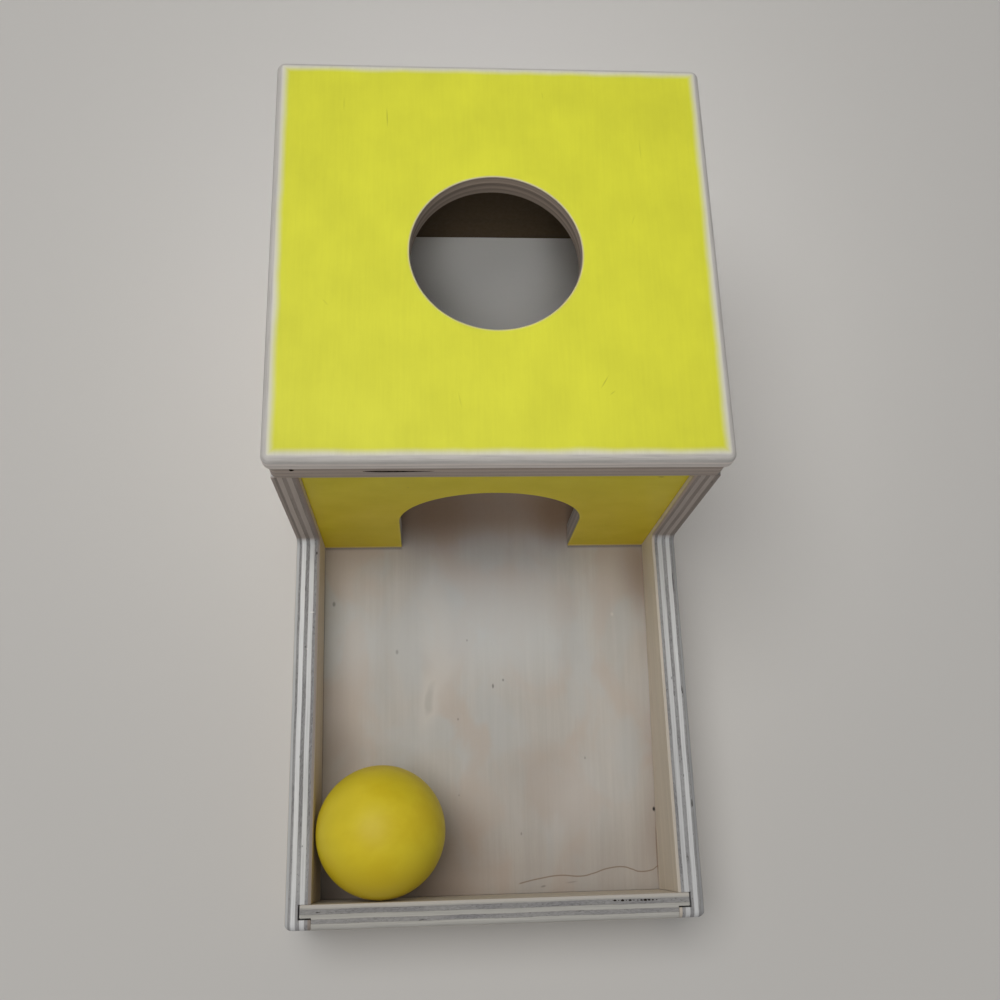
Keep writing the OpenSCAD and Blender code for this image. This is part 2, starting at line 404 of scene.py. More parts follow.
def wood(
    tree, along, through, corner, thickness, plies,
    waviness=0.28, contrast=1, light=None, face=None, inner=None, outer=0.80, voids=0.8, seed=0,
):
    """Plywood seen on a board's faces and on its cut edges. Gives the place, colour, roughness and relief."""
    colours = palette()
    where = use(tree, "Board axes", Along=along, Through=through, Corner=corner)["Millimetres"]
    lines = {f"Line_{n}": share for n, share in enumerate(plies, 1)}
    ply = use(tree, "Ply lines", Millimetres=where, Thickness=thickness, Waviness=waviness, **lines)
    veneer = use(tree, "Veneer grain", Millimetres=where, Seed=seed)
    depth = split(tree, where)[2]
    from_face = calc(tree, "MINIMUM", depth, calc(tree, "SUBTRACT", thickness, depth))

    # The cut edge: every ply has its own tone, from the outer face to the inner one
    pale, dark = light or colours.light_ply, colours.grey_ply
    streaked = mix(tree, step(tree, ply["Streak"], 0.40, 0.72, 0, 0.55), pale, shade(pale, 0.64))
    stops = ((0, outer), (0.14, outer), (0.22, 1), (0.45, 1), (0.56, 0.92), (1, 0.88))
    streaked = tinted(tree, 1, streaked, levels(tree, ply["Share"], stops))
    if inner:
        streaked = mix(tree, step(tree, ply["Share"], 0.865, 0.895), streaked, inner)
    hatched = mix(tree, step(tree, ply["Hatch"], 0.34, 0.68), shade(dark, 0.76), shade(dark, 1.26))
    worn = step(tree, noise(tree, where, (0.035, 0.035, 0.25)), 0.38, 0.66, contrast, contrast * 0.70)
    edge = mix(tree, times(tree, ply["Grey"], worn), streaked, hatched)
    edge = mix(tree, times(tree, ply["Glue"], 0.30 * contrast), edge, colours.glue)
    edge = mix(tree, times(tree, ply["Void"], voids * contrast), edge, colours.void)

    # The face: one veneer with its pores
    flat = face or colours.face
    toned = mix(tree, step(tree, veneer["Tone"], -0.4, 0.5), shade(flat, 0.92), shade(flat, 1.07))
    pored = mix(tree, times(tree, veneer["Pores"], 0.18), toned, shade(flat, 0.60))
    hollows = fused(tree, ply["Void"], 1.2, times(tree, veneer["Pores"], 0.4))
    ridges = fused(tree, ply["Streak"], 0.5, times(tree, ply["Hatch"], 0.5))
    base = mix(tree, step(tree, from_face, 0.02, 0.2), pored, edge)
    relief = calc(tree, "SUBTRACT", ridges, fused(tree, ply["Grey"], 0.55, hollows))
    return where, base, step(tree, ply["Hatch"], 0.3, 0.7, 0.62, 0.80), relief


def marked(tree, where, base, marks, softness=0.7):
    """Adds soft oval marks: along, across, half length, half width, strength, colour, and turn if there is one."""
    for along, across, reach, width, strength, tint, *turn in marks:
        mask = use(
            tree, "Mark", Millimetres=where, Centre=(along, across, 0), Half_length=reach, Half_width=width,
            Turn=turn[0] if turn else 0, Softness=softness,
        )[0]
        base = mix(tree, times(tree, mask, strength), base, tint)
    return base


def plywood_finish(name, *board, **settings):
    """Plain plywood. What follows the name is what wood() takes."""
    material, tree = new_finish(name)
    _, base, rough, relief = wood(tree, *board, **settings)
    return close_finish(material, base, rough, relief)


def side_finish(name, hand, low, high):
    """Plywood of a side board: pale plies along the tray, browner and darker on the tall front edge, partly with
    painted shade.
    """
    colours = palette()
    material, tree = new_finish(name)
    # Colours, and small marks on the edges' upper face, with their places along the tray and across it
    dark, pale = colours.void, (0.78, 0.76, 0.72)
    if hand > 0:
        edge, face, light, inner, outer = low.x, (0.630, 0.540, 0.430), 1.22, colours.tan_ply, 0.66
        marks = (
            (-9.4, -66.2, 0.8, 0.45, 0.85, dark), (-32.6, -67.4, 0.25, 1.3, 0.8, pale),
            (-45.8, -69.6, 0.6, 0.35, 0.7, dark), (-46.6, -68.9, 0.5, 0.3, 0.6, pale),
            (-86, -70.4, 0.7, 0.3, 0.5, dark), (-117, -68.6, 0.5, 0.3, 0.6, dark),
        )
    else:
        # The right board's outermost ply is darker (outer 0.45): painted shade on the side turned from the light
        edge, face, light, inner, outer = high.x, (0.700, 0.625, 0.530), 1.07, colours.cream_ply, 0.45
        marks = (
            (-22, 72.2, 6, 0.4, 0.6, dark), (-60, 68.7, 0.8, 0.35, 0.5, dark),
            (-96, 70.3, 0.7, 0.3, 0.5, dark), (-128, 67, 0.5, 0.3, 0.5, dark),
        )
    _, base, rough, relief = wood(
        tree, (0, 1, 0), (hand, 0, 0), (edge / MM, low.y / MM, low.z / MM), BOARD, SIDE_PLIES,
        face=face, light=shade(colours.light_ply, light), inner=inner, outer=outer, seed=17 + 6 * hand,
    )
    x, y, z = split(tree, surface_point(tree))
    # Above the low part's upper edge, and only on the very front of the tall part: browner and darker, partly end
    # grain and partly painted shade
    tall = times(tree, step(tree, z, 40.3, 43.5), step(tree, y, -3.9, -3.2, 1, 0))
    base = tinted(tree, times(tree, tall, 0.9), base, (0.84, 0.72, 0.65))
    base = mix(tree, times(tree, tall, 0.45), base, (0.270, 0.225, 0.195))
    return close_finish(material, marked(tree, joined(tree, y, x), base, marks), rough, relief)


def back_finish():
    """Plywood of the back panel, its inner face darkened with painted shade."""
    colours = palette()
    material, tree = new_finish("back_plywood")
    low, _ = in_mm(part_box("back_panel"))
    _, base, rough, relief = wood(tree, (1, 0, 0), (0, 1, 0), tuple(low), BOARD, SIDE_PLIES, seed=3)
    inside = step(tree, split(tree, surface_point(tree))[1], low.y + 0.05, low.y + 0.3, 1, 0)
    # Painted shade: the inner face is tinted near black, standing for the shade inside the closed box
    painted_shade = [dark / pale for dark, pale in zip(colours.inside, colours.face)]
    return close_finish(material, tinted(tree, inside, base, painted_shade), rough, relief)


def painted(tree, where, paint, grain=1, depth=1):
    """The colour, roughness and relief of the thin paint."""
    cover = use(tree, "Paint cover", Millimetres=where, Grain=grain)
    tone = step(tree, cover["Tone"], -0.45, 0.45)
    base = mix(tree, tone, shade(paint, 1 - 0.10 * depth), shade(paint, 1 + 0.07 * depth))
    return base, step(tree, cover["Tone"], -0.4, 0.4, 0.52, 0.42), cover["Relief"]


def lid_finish():
    """Lemon paint that thins out towards the sanded edge, over bare plywood."""
    settings, colours = bpy.context.scene.ball_drop_sizes, palette()
    material, tree = new_finish("lid_paint")
    low, high = in_mm(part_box("lid"))
    middle, half, thick = (low + high) / 2, (high - low) / 2, high.z - low.z
    where, bare, dull, ridges = wood(
        tree, (0, 1, 0), (0, 0, -1), (middle.x, middle.y, high.z), thick, LID_PLIES,
        waviness=0.6, contrast=0.30, voids=0, light=(0.590, 0.562, 0.535), face=(0.580, 0.562, 0.515),
    )
    depth = split(tree, where)[2]
    distance = use(tree, "Edge distance", Millimetres=where, Half_size=(half.y, half.x, 0), Corner=3)[0]
    uneven = fused(tree, noise(tree, where, (0.06, 0.06, 0.1)), 1.6, -0.8)
    rim = calc(tree, "ADD", distance, uneven)
    paint_edge = step(tree, rim, settings.bare_start / MM, settings.bare_end / MM)
    centre, opening, _ = drop_hole()
    hole_x, hole_y, opening = centre.x / MM, centre.y / MM, opening / MM
    flat = vector(tree, "MULTIPLY", where, (1, 1, 0))
    radius = vector(tree, "LENGTH", vector(tree, "SUBTRACT", flat, (hole_y - middle.y, hole_x - middle.x, 0)))
    hole = opening + settings.hole_rim / MM
    paint_hole = step(tree, radius, hole - 0.45, hole + 0.45)

    # Painted light: the outer edge is lightened to the palest wood, as lit on its rounding; the hole's wall is browner
    # and darker, partly painted shade
    outer = times(tree, step(tree, depth, 1.6, 3.2), step(tree, radius, 40, 41))
    bare = tinted(tree, outer, bare, (1.34, 1.30, 1.30))
    rim_tone = step(tree, radius, opening + 1.2, opening + 1.7, 1, 0)
    rim_wood = tinted(tree, rim_tone, bare, (0.86, 0.80, 0.62))
    inwards = step(tree, radius, opening + 0.3, opening + 0.55, 1, 0)
    wall = times(tree, inwards, step(tree, depth, 0.05, 0.25))
    stops = (
        (0, 0.42), (0.05, 0.48), (0.10, 0.96), (0.30, 0.96), (0.37, 0.46), (0.47, 0.50), (0.53, 0.74),
        (0.66, 0.78), (0.72, 0.56), (0.80, 0.76), (0.90, 0.72), (1, 0.40),
    )
    bands = levels(tree, calc(tree, "DIVIDE", depth, thick), stops)
    brown_and_shade = tinted(tree, 1, bands, (0.88, 0.75, 0.64))
    bare = mix(tree, wall, rim_wood, tinted(tree, 1, bare, brown_and_shade))

    covered = times(tree, times(tree, paint_edge, paint_hole), step(tree, depth, 0.9, 1.3, 1, 0))
    paint, rough, relief = painted(tree, where, colours.lid_paint)
    # Fine scratches: along the grain, across it, half length, turn, strength
    scratches = (
        (-48.2, 33.7, 3.4, -0.55, 0.5), (-52, 36, 1.6, -0.9, 0.35), (51.8, -36.4, 5.2, 0.04, 0.55),
        (57.2, -51.3, 4, 0, 0.25), (-54.5, -12.9, 4, 0.2, 0.2), (40.1, 51.3, 6, 0.02, 0.22),
        (-20, -56, 2.2, 0.7, 0.22), (12, 47, 2.8, -0.3, 0.18), (62, 18, 2.4, 0.1, 0.20),
    )
    width, deep = 0.32, shade(colours.lid_paint, 0.42)
    marks = [(along, across, reach, width, strength, deep, turn) for along, across, reach, turn, strength in scratches]
    paint = marked(tree, where, paint, marks, 0.9)
    height = between(tree, covered, times(tree, ridges, 0.6), fused(tree, relief, 0.35, 0.25))
    base, rough = mix(tree, covered, bare, paint), between(tree, covered, dull, rough)
    return close_finish(material, base, rough, height, bump=0.22, specular=0.22)


def panel_finish():
    """Yellow paint on the panel's front, bare plywood on its cut faces and inside."""
    colours = palette()
    material, tree = new_finish("panel_paint")
    low, high = in_mm(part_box("front_panel"))
    where, bare, dull, ridges = wood(
        tree, (1, 0, 0), (0, 1, 0), tuple(low), high.y - low.y, SIDE_PLIES,
        contrast=0.35, light=(0.56, 0.50, 0.46), face=colours.inside_wood, seed=31,
    )
    depth = split(tree, where)[2]
    ragged = fused(tree, noise(tree, where, (0.5, 0.5, 0.5)), 0.3, depth)
    covered = step(tree, ragged, 0.35, 0.62, 1, 0)
    paint, rough, relief = painted(tree, where, colours.panel_paint, grain=0.6)
    x, _, z = split(tree, surface_point(tree))
    # Greener towards the lid
    green = tinted(tree, 1, paint, (0.96, 1.05, 1.4))
    paint = mix(tree, step(tree, z, 60, 110, 0, 0.8), paint, green)
    marks = (
        (55.4, 105.5, 1.6, 0.8, 0.6, (0.16, 0.12, 0.02), 0.1), (-30, 96, 0.5, 0.4, 0.4, (0.2, 0.15, 0.03)),
    )
    paint = marked(tree, joined(tree, x, z), paint, marks)
    # Paint is rubbed off along the foot
    foot = step(tree, z, low.z + 1.5, low.z + 2.2, 1, 0)
    paint = mix(tree, times(tree, foot, 0.85), paint, (0.800, 0.600, 0.240))
    # Painted highlight: a thin pale line along the arch's edge, where its rounding catches the light
    verts = [v.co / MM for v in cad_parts["front_panel"].data.vertices]
    arch_r = min(abs(v.x) for v in verts if v.z < low.z + 5)
    arch_top = max(v.z for v in verts if abs(v.x) < arch_r - 1 and v.z < high.z - 3)
    rise = calc(tree, "MAXIMUM", calc(tree, "SUBTRACT", z, arch_top - arch_r), 0)
    reach = vector(tree, "LENGTH", joined(tree, x, rise))
    paint = mix(tree, step(tree, reach, arch_r + 0.35, arch_r + 0.9, 0.32, 0), paint, (0.760, 0.640, 0.120))
    base, rough = mix(tree, covered, bare, paint), between(tree, covered, dull, rough)
    height = fused(tree, covered, fused(tree, relief, 0.3, 0.2), times(tree, ridges, 0.5))
    return close_finish(material, base, rough, height, bump=0.2, specular=0.25)


def floor_finish():
    """Pale veneer with its figure, specks, one fine hairline, and painted light and shade."""
    colours = palette()
    material, tree = new_finish("floor_veneer")
    # The floor's run and rise from the tray's front to the back panel, and the height of its front edge
    reach, rise, top = 271.5, 27, 7
    slope = Vector((0, reach, rise)).normalized()
    through = Vector((0, slope.z, -slope.y))
    corner = (0, (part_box("floor_panel")[0] / MM).y, top)
    where, base, rough, relief = wood(
        tree, tuple(slope), tuple(through), corner, FLOOR_BOARD, SIDE_PLIES,
        contrast=0.6, face=colours.floor, seed=11,
    )
    run, side, _ = split(tree, where)
    pale, dark, brown_and_shade = shade(colours.floor, 1.26), shade(colours.floor, 0.26), (0.150, 0.082, 0.038)

    # Cool and warm clouds in the veneer
    cool = noise(tree, where, (0.026, 0.040, 0), detail=3, distortion=0.6)
    warm = noise(tree, vector(tree, "ADD", where, (300, 90, 0)), (0.028, 0.044, 0), detail=3, distortion=0.6)
    base = mix(tree, step(tree, cool, 0.44, 0.62, 0, 0.52), base, (0.455, 0.460, 0.455))
    base = mix(tree, step(tree, warm, 0.46, 0.62, 0, 0.60), base, (0.468, 0.392, 0.335))
    # Figure of the veneer: a lighter band with a wavy outline and an oval in it
    warp = vector(tree, "SUBTRACT", noise(tree, where, (0.055, 0.055, 0), result="Color"), (0.5, 0.5, 0.5))
    bent = vector(tree, "ADD", where, vector(tree, "MULTIPLY", warp, (26, 15, 0)))
    figure = (
        (92, -21.5, 48, 10, 0.42, pale), (73.5, -22.6, 17, 7, 0.28, pale),
        (74, -22.6, 8, 3, 0.22, dark), (60, 44, 30, 13, 0.16, pale),
        (40, 20, 24, 16, 0.12, brown_and_shade), (100, 34, 26, 9, 0.13, brown_and_shade),
    )
    base = marked(tree, bent, base, figure, 0.75)
    # Painted light and shade: paler and cooler in front of the arch, where the tall box shades the floor; browner and
    # darker along the right wall and beside the ball, the ball's painted shadow
    clear = (0.600, 0.615, 0.620)
    painted_light_and_shade = (
        (102, 4, 34, 62, 0.60, clear), (34, 33, 26, 22, 0.20, clear),
        (98, -54, 26, 18, 0.34, clear), (76, 68, 26, 14, 0.30, clear),
        (70, 68, 100, 15, 0.30, brown_and_shade), (124, 66, 24, 17, 0.50, brown_and_shade),
        (22, 68, 28, 15, 0.26, brown_and_shade), (16, -13, 30, 22, 0.31, brown_and_shade),
        (54, -58, 18, 16, 0.24, brown_and_shade), (150, -20, 22, 26, 0.55, brown_and_shade),
        (150, 30, 20, 16, 0.78, brown_and_shade),
    )
    base = marked(tree, where, base, painted_light_and_shade, 0.9)
    # Painted shade: browner and darker towards the arch and towards the tray's front, and dark in the ball's corner
    # with the ball's painted shadow
    for start, end, share in ((118, 136, 0.27), (40, 4, 0.26)):
        base = mix(tree, step(tree, run, start, end, 0, share), base, brown_and_shade)
    corners = ((-6, -68, 30, 26, 0.82, (0.050, 0.034, 0.020)), (2, -30, 9, 26, 0.35, brown_and_shade))
    base = marked(tree, where, base, corners, 0.85)
    # A dark line where the panel's two legs stand on the floor
    legs = step(tree, calc(tree, "ABSOLUTE", side), 33.6, 34.4)
    foot = times(tree, step(tree, run, 133.9, 134.8), legs)
    base = mix(tree, times(tree, foot, 0.6), base, dark)
    # Painted shade, brown and dark, inside the arch; then painted light, plain and pale, under the hole where light
    # falls through it
    under = times(tree, step(tree, run, 133, 148), step(tree, run, 188, 206, 1, 0))
    base = mix(tree, times(tree, under, 0.70), base, (0.235, 0.146, 0.088))
    base = mix(tree, step(tree, run, 194, 218, 0, 0.97), base, colours.floor_inside)
    specks = (
        (78.7, 2.1, 1.3, 0.6, 0.75, dark), (81, 6.2, 0.8, 0.6, 0.6, dark), (92.8, -36, 1.3, 0.8, 0.45, dark),
        (106.7, 51.3, 1, 0.9, 0.7, pale), (112.3, -61.2, 1.4, 0.9, 0.6, dark),
        (29.9, 64.5, 1.2, 0.8, 1, (0.01, 0.008, 0.006)), (66, -12, 0.7, 0.5, 0.5, dark),
        (50, 38, 0.8, 0.5, 0.45, dark), (22, 12, 0.9, 0.5, 0.45, dark),
        (97, -8, 0.7, 0.5, 0.4, dark), (37, -12, 0.6, 0.4, 0.4, dark),
        (2.4, 20, 0.5, 1.4, 0.5, dark, 0.2), (14, 64.8, 16, 0.35, 0.55, brown_and_shade),
        (3.6, 31, 0.4, 3, 0.3, dark, 0.1), (120, -65, 40, 0.5, 0.35, dark),
        (60, -65, 60, 0.45, 0.4, brown_and_shade),
    )
    base = marked(tree, where, base, specks)

    # A fine brown line that wanders across the grain near the tray's front
    begin, width, height = 10, 56, 10
    wander = (
        (11.8, 3.9), (18.8, 5.3), (26.6, 6.2), (34.9, 5.7), (39.2, 6.5), (46.3, 8.4), (50.6, 8.7), (54.7, 7.7),
        (58.2, 6.7), (61.8, 7), (64.6, 8.4),
    )
    reach = calc(tree, "DIVIDE", calc(tree, "SUBTRACT", side, begin), width, clamp=True)
    path = put(tree, "ShaderNodeFloatCurve", {"Factor": 1, "Value": reach})
    curve = path.mapping.curves[0]
    curve.points[0].location, curve.points[-1].location = (0, 0.34), (1, 0.90)
    for across, along in wander:
        curve.points.new((across - begin) / width, along / height)
    path.mapping.update()
    off = calc(tree, "ABSOLUTE", calc(tree, "SUBTRACT", run, times(tree, path.outputs[0], height)))
    line = times(tree, step(tree, off, 0.10, 0.36, 1, 0), step(tree, side, 10.2, 11.4, 0, 0.62))
    base = mix(tree, line, base, brown_and_shade)
    return close_finish(material, base, rough, relief, bump=0.18, specular=0.3)


def ball_finish():
    """Golden paint on turned wood, with soft clouds, faint turning lines and painted shade towards the tray's front.
    """
    colours = palette()
    material, tree = new_finish("ball_paint")
    low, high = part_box("ball")
    middle = (low + high) / 2 / MM
    where = use(tree, "Board axes", Along=(0.8, 0.36, 0.48), Through=(-0.6, 0.48, 0.64), Corner=tuple(middle))[0]
    paint, rough, relief = painted(tree, where, colours.ball_paint, grain=0.25, depth=1.2)
    cloud = noise(tree, where, (0.055, 0.085, 0.07), detail=3, roughness=0.55)
    deeper_and_shade = [part * share for part, share in zip(colours.ball_paint, (0.86, 0.78, 0.3))]
    base = mix(tree, step(tree, cloud, 0.42, 0.68, 0, 0.5), paint, deeper_and_shade)
    # Painted shade: deeper and darker towards the tray's front, the side turned from the light
    y = split(tree, surface_point(tree))[1]
    base = mix(tree, step(tree, y, middle.y - 4, middle.y - 21, 0, 0.95), base, deeper_and_shade)
    return close_finish(material, base, rough, relief, bump=0.10, specular=0.28)


def void_finish():
    """The torn inside of a gap in the plies, made dark with painted shade."""
    colours = palette()
    material, tree = new_finish("void_shade")
    where = use(tree, "Board axes")[0]
    torn = noise(tree, where, (0.8, 0.8, 2.5), detail=3)
    base = mix(tree, step(tree, torn, 0.4, 0.7), colours.void, shade(colours.void, 3))
    return close_finish(material, base, 0.9, torn, bump=0.5, specular=0.1)


# ---------------- shapes


def add_object(name, data):
    piece = bpy.data.objects.new(name, data)
    bpy.context.scene.collection.objects.link(piece)
    return piece


def made_mesh(piece):
    """What a piece's modifiers make of it."""
    return bpy.data.meshes.new_from_object(piece.evaluated_get(bpy.context.evaluated_depsgraph_get()))


def is_corner(edge, angle):
    """Whether two faces meet at more than this angle. Slivers left by tessellation don't count."""
    if not edge.is_manifold or min(face.calc_area() for face in edge.link_faces) < SLIVER:
        return False
    return edge.calc_face_angle() > angle


def drop_hole():
    """The hole's centre, which lies a little in front of the lid's middle, its radius and its rounding."""
    low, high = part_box("lid")
    ring = [v.co.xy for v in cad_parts["lid"].data.vertices]
    ring = [place for place in ring if (place - (low + high).xy / 2).length < HOLE_REACH]
    xs, ys = [place.x for place in ring], [place.y for place in ring]
    centre = Vector((min(xs) + max(xs), min(ys) + max(ys))) / 2
    reach = [(place - centre).length for place in ring]
    return centre, min(reach), max(reach) - min(reach)


def round_hole_rim(shape, steps=6):
    """Makes the hole's wall and the rounding at its upper rim anew, in even rings."""
    centre, radius, rounding = drop_hole()
    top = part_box("lid")[1].z

    def in_hole(vert):
        return (vert.co.xy - centre).length < radius + rounding + NEAR

    old = [face for face in shape.faces if all(in_hole(vert) for vert in face.verts)]
    bmesh.ops.delete(shape, geom=old, context="FACES")
    lower = [edge for edge in shape.edges if edge.is_boundary and edge.verts[0].co.z < top - NEAR]
    upper = {vert for edge in shape.edges if edge.is_boundary for vert in edge.verts if vert.co.z > top - NEAR}
    ring = sorted(upper, key=lambda vert: (vert.co.xy - centre).angle_signed(Vector((1.0, 0.0))))
    ways = [(vert.co.xy - centre).normalized() for vert in ring]
    for number in range(1, steps + 1):
        turn = radians(90.0 * number / steps)
        reach, height = radius + rounding * (1 - sin(turn)), top - rounding * (1 - cos(turn))
        below = [shape.verts.new((*(centre + way * reach), height)) for way in ways]
        for place in range(-1, len(ring) - 1):
            shape.faces.new((ring[place], ring[place + 1], below[place + 1], below[place]))
        ring = below
    last = [shape.edges.get((ring[place], ring[place + 1])) for place in range(-1, len(ring) - 1)]
    bmesh.ops.bridge_loops(shape, edges=last + lower)


def softened_board(name, node, material):
    """A copy of one board with its sharp outer edges broken by sanding."""
    shape = bmesh.new()
    shape.from_mesh(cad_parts[node].data)
    bmesh.ops.remove_doubles(shape, verts=shape.verts, dist=SAME)
    if node == "lid":
        round_hole_rim(shape)
    bmesh.ops.dissolve_limit(shape, angle_limit=radians(FLAT), verts=shape.verts, edges=shape.edges)
    bmesh.ops.recalc_face_normals(shape, faces=shape.faces)
    bmesh.ops.bevel(
        shape, geom=[edge for edge in shape.edges if edge.is_convex and is_corner(edge, radians(SANDED))],
        offset=bpy.context.scene.ball_drop_sizes.edge, segments=2, profile=0.5, affect="EDGES", clamp_overlap=False,
    )
    # A bevel on a curved rim may stand a little proud of the board
    low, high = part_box(node)
    for vert in shape.verts:
        vert.co = Vector(min(max(c, least), most) for c, least, most in zip(vert.co, low, high))
    for edge in shape.edges:
        edge.smooth = not is_corner(edge, radians(CREASED))
    mesh = bpy.data.meshes.new(name)
    shape.to_mesh(mesh)
    shape.free()
    mesh.materials.append(material)
    mesh.shade_smooth()
    return add_object(name, mesh)


def seat(piece, node, body):
    """Lets the finished piece stand for its node and move with its body."""
    normals = piece.modifiers.new("Even shading", "WEIGHTED_NORMAL")
    normals.keep_sharp = True
    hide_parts(node)
    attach(piece, body)


def dressed_board(name, node, material, hollows=()):
    """Softens a copy of one board, cuts its hollows and puts it in the board's place."""
    piece = softened_board(name, node, material)
    for hollow in hollows:
        cut_voids(piece, *hollow)
    seat(piece, node, "box")
    return {"FINISHED"}


def geometry_tree(name, inputs):
    """An empty Geometry Nodes tree with named inputs, the last of them its finish."""
    return new_group(name, {**inputs, "Finish": None}, ("Geometry",), "Geometry", "GeometryNodeTree")


def close_tree(tree, given, out, shapes):
    """Ends a tree in real shapes with their finish."""
    solid = first_of(tree, "GeometryNodeRealizeInstances", {"Geometry": shapes})
    done = first_of(tree, "GeometryNodeSetMaterial", {"Geometry": solid, "Material": given["Finish"]})
    give(tree, out, Geometry=done)
    return tree


def run_tree(name, tree, values):
    """Runs a tree with these values and returns its result as a plain mesh object."""
    holder = add_object(name + "_maker", bpy.data.meshes.new(name + "_maker"))
    modifier = holder.modifiers.new("Maker", "NODES")
    modifier.node_group = tree
    names = {item.name: item.identifier for item in tree.interface.items_tree if item.in_out == "INPUT"}
    for label, value in values.items():
        modifier[names[label]] = value
    mesh = made_mesh(holder)
    mesh.name = name
    bpy.data.objects.remove(holder)
    return add_object(name, mesh)


def ply_void_tree():
    """Torn, lens-shaped hollows in a row along one ply."""
    inputs = {"Start": (0, 0, 0), "End": (1, 0, 0), "Count": 1, "Size": (1, 1, 1), "Unevenness": 0.3, "Seed": 0}
    tree, given, out = geometry_tree("Ply voids", inputs)
    # In this mode the offset is the line's end
    ends = {"Count": given["Count"], "Start Location": given["Start"], "Offset": given["End"]}
    line = first_of(tree, "GeometryNodeMeshLine", ends, mode="END_POINTS")
    lens = first_of(tree, "GeometryNodeMeshIcoSphere", {"Radius": 1.0, "Subdivisions": 3})
    bump = first_of(tree, "ShaderNodeTexNoise", {"Scale": 1.7, "Detail": 2.0})
    change = {"Value": bump, "From Min": 0.3, "From Max": 0.7, "To Min": 0.7, "To Max": 1.1}
    shrink = first_of(tree, "ShaderNodeMapRange", change)
    torn = scaled(tree, first_of(tree, "GeometryNodeInputPosition"), shrink)
    lens = first_of(tree, "GeometryNodeSetPosition", {"Geometry": lens, "Position": torn})
    low, high = (calc(tree, way, 1.0, given["Unevenness"]) for way in ("SUBTRACT", "ADD"))
    size = put(tree, "FunctionNodeRandomValue", {"Seed": given["Seed"], 2: low, 3: high}, data_type="FLOAT").outputs[1]
    sizes = scaled(tree, given["Size"], size)
    row = first_of(tree, "GeometryNodeInstanceOnPoints", {"Points": line, "Instance": lens, "Scale": sizes})
    return close_tree(tree, given, out, row)


def cut_voids(piece, start, end, count, size, unevenness=0.0, seed=0):
    """Cuts a row of torn hollows into a board. Places and sizes are in millimetres."""
    tree = bpy.data.node_groups.get("Ply voids") or ply_void_tree()
    finish = bpy.data.materials.get("void_shade") or void_finish()
    cutter = run_tree(
        "hollow", tree,
        {
            "Start": [c * MM for c in start], "End": [c * MM for c in end], "Count": count,
            "Size": [c * MM for c in size], "Unevenness": unevenness, "Seed": seed, "Finish": finish,
        },
    )
    cut = piece.modifiers.new("Hollow", "BOOLEAN")
    cut.operation, cut.solver, cut.object = "DIFFERENCE", "EXACT", cutter
    cut.material_mode, cut.use_self = "TRANSFER", True
    mesh = made_mesh(piece)
    piece.modifiers.clear()
    piece.data = mesh
    bpy.data.objects.remove(cutter)


def ball_tree():
    """A turned ball: round, with very shallow flats where paint and turning left them."""
    inputs = {"Radius": 0.02, "Centre": (0, 0, 0), "Flats": 0.0001, "Seed": 0}
    tree, given, out = geometry_tree("Turned ball", inputs)
    ball = first_of(tree, "GeometryNodeMeshIcoSphere", {"Radius": given["Radius"], "Subdivisions": 6})
    place = first_of(tree, "GeometryNodeInputPosition")
    inputs = {"Vector": place, "W": given["Seed"], "Scale": 55.0, "Detail": 2.0}
    fields = first_of(tree, "ShaderNodeTexNoise", inputs, noise_dimensions="4D")
    inward = times(tree, times(tree, fields, given["Flats"]), -1.0)
    offset = scaled(tree, first_of(tree, "GeometryNodeInputNormal"), inward)
    shaped = first_of(tree, "GeometryNodeSetPosition", {"Geometry": ball, "Offset": offset})
    moved = first_of(tree, "GeometryNodeTransform", {"Geometry": shaped, "Translation": given["Centre"]})
    return close_tree(tree, given, out, first_of(tree, "GeometryNodeSetShadeSmooth", {0: moved}))


# ---------------- stage


def make_table():
    """A wide, plain, pale table."""
    colours, half = palette(), 6.0
    table = bpy.data.meshes.new("table")
    table.from_pydata([(-half, -half, 0), (half, -half, 0), (half, half, 0), (-half, half, 0)], [], [(0, 1, 2, 3)])
    material, tree = new_finish("table_top")
    tone = noise(tree, put(tree, "ShaderNodeTexCoord").outputs["Object"], (3.0, 3.0, 3.0), detail=1.0)
    base = mix(tree, tone, shade(colours.table, 0.99), shade(colours.table, 1.01))
    table.materials.append(close_finish(material, base, 0.9, tone, bump=0.0, specular=0.1))
    add_object("table", table)


def make_lights():
    """A broad soft light above, and a weak one beside the camera that reaches into the hole."""
    centre, hole = (CAD_LOW + CAD_HIGH) / 2, Vector((0.0, 0.07, 0.13))
    # Each light: what it points at, the way to it, distance, width, power, spread, tint
    lights = (
        ("window", centre, Vector((-0.23, 0.10, 0.95)), 2.20, 1.60, 29.2, 180, (1.0, 0.99, 0.97)),
        ("camera_side", hole, Vector((-0.065, -0.50, 0.86)), 0.70, 0.22, 0.066, 30, (1.0, 1.0, 1.0)),
    )
    for name, target, towards, distance, size, power, spread, tint in lights:
        lamp = bpy.data.lights.new(name, "AREA")
        lamp.spread = radians(spread)
        lamp.shape, lamp.size, lamp.energy, lamp.color = "DISK", size, power, tint
        holder = add_object(name, lamp)
        holder.visible_camera = False
        holder.location = target + towards.normalized() * distance
        holder.rotation_euler = towards.to_track_quat("Z", "Y").to_euler()


